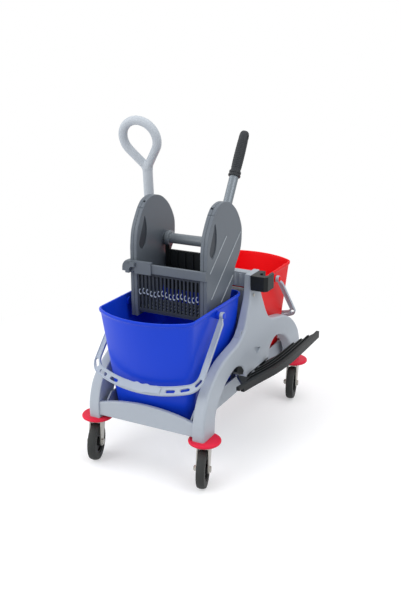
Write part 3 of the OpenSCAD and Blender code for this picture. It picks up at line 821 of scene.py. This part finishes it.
# The grip in section, as distances down from its tip and radii: the collars at its foot and the round end
GRIP_FOOT = [(132, 13), (132, 15.6), (131.2, 16.6), (129, 17), (127, 16.6), (126.2, 15.2), (123.4, 15),
             (122.6, 16), (120, 16.4), (117.4, 16), (116.6, 14.2), (111, 13.2)]
GRIP_TIP = [(27, 13.4), (18, 13.4), (10, 12.7), (5, 11.2), (2, 8.8), (0.4, 5), (0, 2)]
# The first of its ribs, their number, pitch and height, its slimmest radius and how far it swells
RIB_START, GRIP_RIBS, RIB_PITCH, RIB_HEIGHT = 108, 16, 5, 0.6
GRIP_RADIUS, GRIP_SWELL = 13.1, 0.8
# The hole to hang it by: its distance down and its radius
HANG_DOWN, HANG_RADIUS = 17, 4
COLLAR = [(86.2, 18), (85.8, 20.4), (85, 20.9), (75, 20.9), (74, 20.5), (73.4, 19.4), (73.2, 14)]


def grip_section():
    section = list(GRIP_FOOT)
    for i in range(GRIP_RIBS):
        down = RIB_START - RIB_PITCH * i
        r = GRIP_RADIUS + GRIP_SWELL * math.sin(math.pi * (down - 30) / 90)
        section += [(down, r), (down - 0.7, r + RIB_HEIGHT), (down - 2.8, r + RIB_HEIGHT), (down - 3.5, r)]
    return section + GRIP_TIP


def make_grip():
    """The lever's grip: two collars, a swollen ribbed body and a round end with a hole through it."""
    foot = Vector((LEVER_X, SHAFT_Y, SHAFT_Z))
    along = Vector((0, math.sin(LEVER_LEAN), math.cos(LEVER_LEAN)))
    across = Vector((0, math.cos(LEVER_LEAN), -math.sin(LEVER_LEAN)))
    rings = []
    for down, r in grip_section():
        middle = foot + along * (LEVER_LENGTH - down)
        ring = []
        for turn in around(40):
            ring.append(spot(*(middle + Vector((r * math.cos(turn), 0, 0)) + across * (r * math.sin(turn)))))
        rings.append(ring)
    piece = loft("ribbed_grip", rings)
    eye = foot + along * (LEVER_LENGTH - HANG_DOWN)
    flat = []
    for turn in around(32):
        place = Vector((0, eye.y, eye.z)) + along * (HANG_RADIUS * math.cos(turn))
        flat.append(place + across * (HANG_RADIUS * math.sin(turn)))
    ends = (LEVER_X - 26, LEVER_X + 26)
    cut(piece, loft("hole tool", [[spot(x, 0, 0) + place / 1000 for place in flat] for x in ends]))
    smooth(piece, 30)
    settle(piece, "press", "black_plastic", GRIP, "lever_grip")


def make_collar(side, word):
    """The grey collar over the jaw's eye at one end of the shaft."""
    rings = [circle(side * x, SHAFT_Y, SHAFT_Z, r, 48) for x, r in COLLAR]
    settle(loft(word + "_shaft_collar", rings), "press", "wringer_grey", SHAFT)


make_grip()
for word, side in SIDES:
    make_collar(side, word)


# Mouldings that keep the solid's form, with their edges rounded by a width in a number of steps

for node, name, body, slot, material, width, segments in (
    ("bridge", "bridge_moulding", "chassis", "chassis_grey", GREY, 1.2, 2),
    ("handle_socket", "socket_moulding", "chassis", "chassis_grey", HANDLE, 1.0, 2),
    ("mop_clip", "clip_moulding", "chassis", "black_plastic", BLACK, 2.0, 3),
    ("mop_rest", "rest_moulding", "chassis", "black_plastic", BLACK, 0.8, 2),
    ("wringer_rail", "rail_moulding", "wringer", "wringer_grey", DARK, 1.5, 3),
    ("wringer_grille", "grille_moulding", "wringer", "wringer_grey", GRILLE_GREY_AND_SHADE, 0.8, 2),
    ("hanger_rail", "hanger_moulding", "wringer", "wringer_grey", DARK, 1.0, 2),
    ("rail_hook", "hook_moulding", "wringer", "wringer_grey", DARK, 1.0, 2),
    ("jaw_plate", "jaw_moulding", "press", "black_plastic", BLACK, 1.0, 2),
    ("lever_socket", "lever_socket_moulding", "press", "wringer_grey", DARK, 1.0, 2),
):
    piece = copy_of(node, name)
    round_edges(piece, width, segments)
    settle(piece, body, slot, material, node)

corners = ("front_right", "front_left", "rear_right", "rear_left")
for corner in corners:
    piece = copy_of(corner + "_fork", corner + "_fork_pressing")
    round_edges(piece, 0.8, 2)
    settle(piece, corner + "_fork", "zinc", ZINC, corner + "_fork")

# Solids that stay as they are

paint(GREY, "base_platform", "centre_beam")
paint(CORAL, *(c + "_bumper" for c in corners))
paint(ZINC, *(c + "_stem" for c in corners), *(c + "_axle" for c in corners), "clip_screw", "return_spring")
paint(HUB, *(c + "_hub" for c in corners))
paint(TYRE, *(c + "_tyre" for c in corners))
paint(DARK, "drain_floor", "shaft_bushes")
paint(SHAFT, "press_shaft")
paint(ALLOY, "lever_tube")


# Floor, light and camera


def background_rays(tree):
    """1 for the rays that show the background: to the camera, off gloss and through glass."""
    ray = add_node(tree, "LightPath")
    seen = maths(tree, "MAXIMUM", ray.outputs["Is Camera Ray"], ray.outputs["Is Glossy Ray"])
    return maths(tree, "MAXIMUM", seen, ray.outputs["Is Transmission Ray"])


def mix_shaders(tree, factor, first, second):
    made = add_node(tree, "MixShader")
    wire(tree, factor, made.inputs["Fac"])
    wire(tree, first, made.inputs[1])
    wire(tree, second, made.inputs[2])
    return made.outputs[0]


def lay_floor():
    """A pale floor that takes the trolley's shadow and fades to plain white away from it."""
    put_down()
    bpy.ops.mesh.primitive_plane_add(size=30)
    floor = bpy.context.active_object
    floor.name = "floor"
    material = bpy.data.materials.new("pale floor")
    material.use_nodes = True
    tree = material.node_tree
    tree.nodes.clear()
    matt = add_node(tree, "BsdfDiffuse", Color=(0.8, 0.8, 0.8, 1))
    soft = add_node(tree, "BsdfDiffuse", Color=(0.72, 0.72, 0.73, 1))
    glow = add_node(tree, "Emission", Strength=0.36)
    both = add_node(tree, "AddShader")
    wire(tree, soft.outputs[0], both.inputs[0])
    wire(tree, glow.outputs[0], both.inputs[1])
    white = add_node(tree, "Emission")
    away = add_node(tree, "VectorMath")
    away.operation = "LENGTH"
    wire(tree, add_node(tree, "TexCoord").outputs["Object"], away.inputs[0])
    fade = add_node(tree, "MapRange")
    fade.interpolation_type = "SMOOTHSTEP"
    fade.inputs["From Min"].default_value = 0.65
    fade.inputs["From Max"].default_value = 1.2
    wire(tree, away.outputs["Value"], fade.inputs["Value"])
    shown = mix_shaders(tree, fade.outputs[0], both.outputs[0], white.outputs[0])
    mixed = mix_shaders(tree, background_rays(tree), matt.outputs[0], shown)
    wire(tree, mixed, add_node(tree, "OutputMaterial").inputs["Surface"])
    floor.data.materials.append(material)


def light_room():
    """Soft light from all round, in front of a white background."""
    world = bpy.data.worlds.new("studio")
    scene.world = world
    world.use_nodes = True
    tree = world.node_tree
    tree.nodes.clear()
    fill = add_node(tree, "Background", Color=(0.95, 0.98, 1, 1), Strength=0.46)
    white = add_node(tree, "Background", Color=(1, 1, 1, 1))
    mixed = mix_shaders(tree, background_rays(tree), fill.outputs[0], white.outputs[0])
    wire(tree, mixed, add_node(tree, "OutputWorld").inputs["Surface"])


def hang_lamp(name, place, aim, size, power):
    data = bpy.data.lights.new(name, "AREA")
    data.shape = "RECTANGLE"
    data.size, data.size_y = size
    data.energy = power
    made = bpy.data.objects.new(name, data)
    made.location = place
    made.rotation_euler = (Vector(aim) - Vector(place)).to_track_quat("-Z", "Y").to_euler()
    scene.collection.objects.link(made)


# The photograph's height, focal length and sideways shift in pixels, and where it was taken from
PHOTO_HEIGHT, FOCAL, SHIFT = 601, 840.5, -2.3
SENSOR = 36
EYE_PLACE = (1023.16, -1975.62, 1107.2)
EYE_DOWN, EYE_TURN = math.radians(18.26), math.radians(27.40)


def set_camera():
    view = bpy.data.cameras.new("photo view")
    view.sensor_width = SENSOR
    view.lens = FOCAL * SENSOR / PHOTO_HEIGHT
    view.shift_x = SHIFT / PHOTO_HEIGHT
    eye = bpy.data.objects.new("photo view", view)
    eye.location = spot(*EYE_PLACE)
    eye.rotation_euler = (math.pi / 2 - EYE_DOWN, 0, EYE_TURN)
    scene.collection.objects.link(eye)
    scene.camera = eye


lay_floor()
light_room()
hang_lamp("window right", (2.6, -0.6, 2.2), (0, 0, 0.3), (2.0, 2.0), 34)
hang_lamp("window front", (-1.2, -2.9, 1.9), (0, 0, 0.35), (2.0, 2.0), 42)
hang_lamp("window left", (-2.6, -0.9, 2.0), (0, 0, 0.4), (2.0, 2.0), 34)
hang_lamp("ceiling panel", (0.2, 0.4, 3.2), (0, 0, 0), (2.6, 2.6), 40)
set_camera()

put_down()
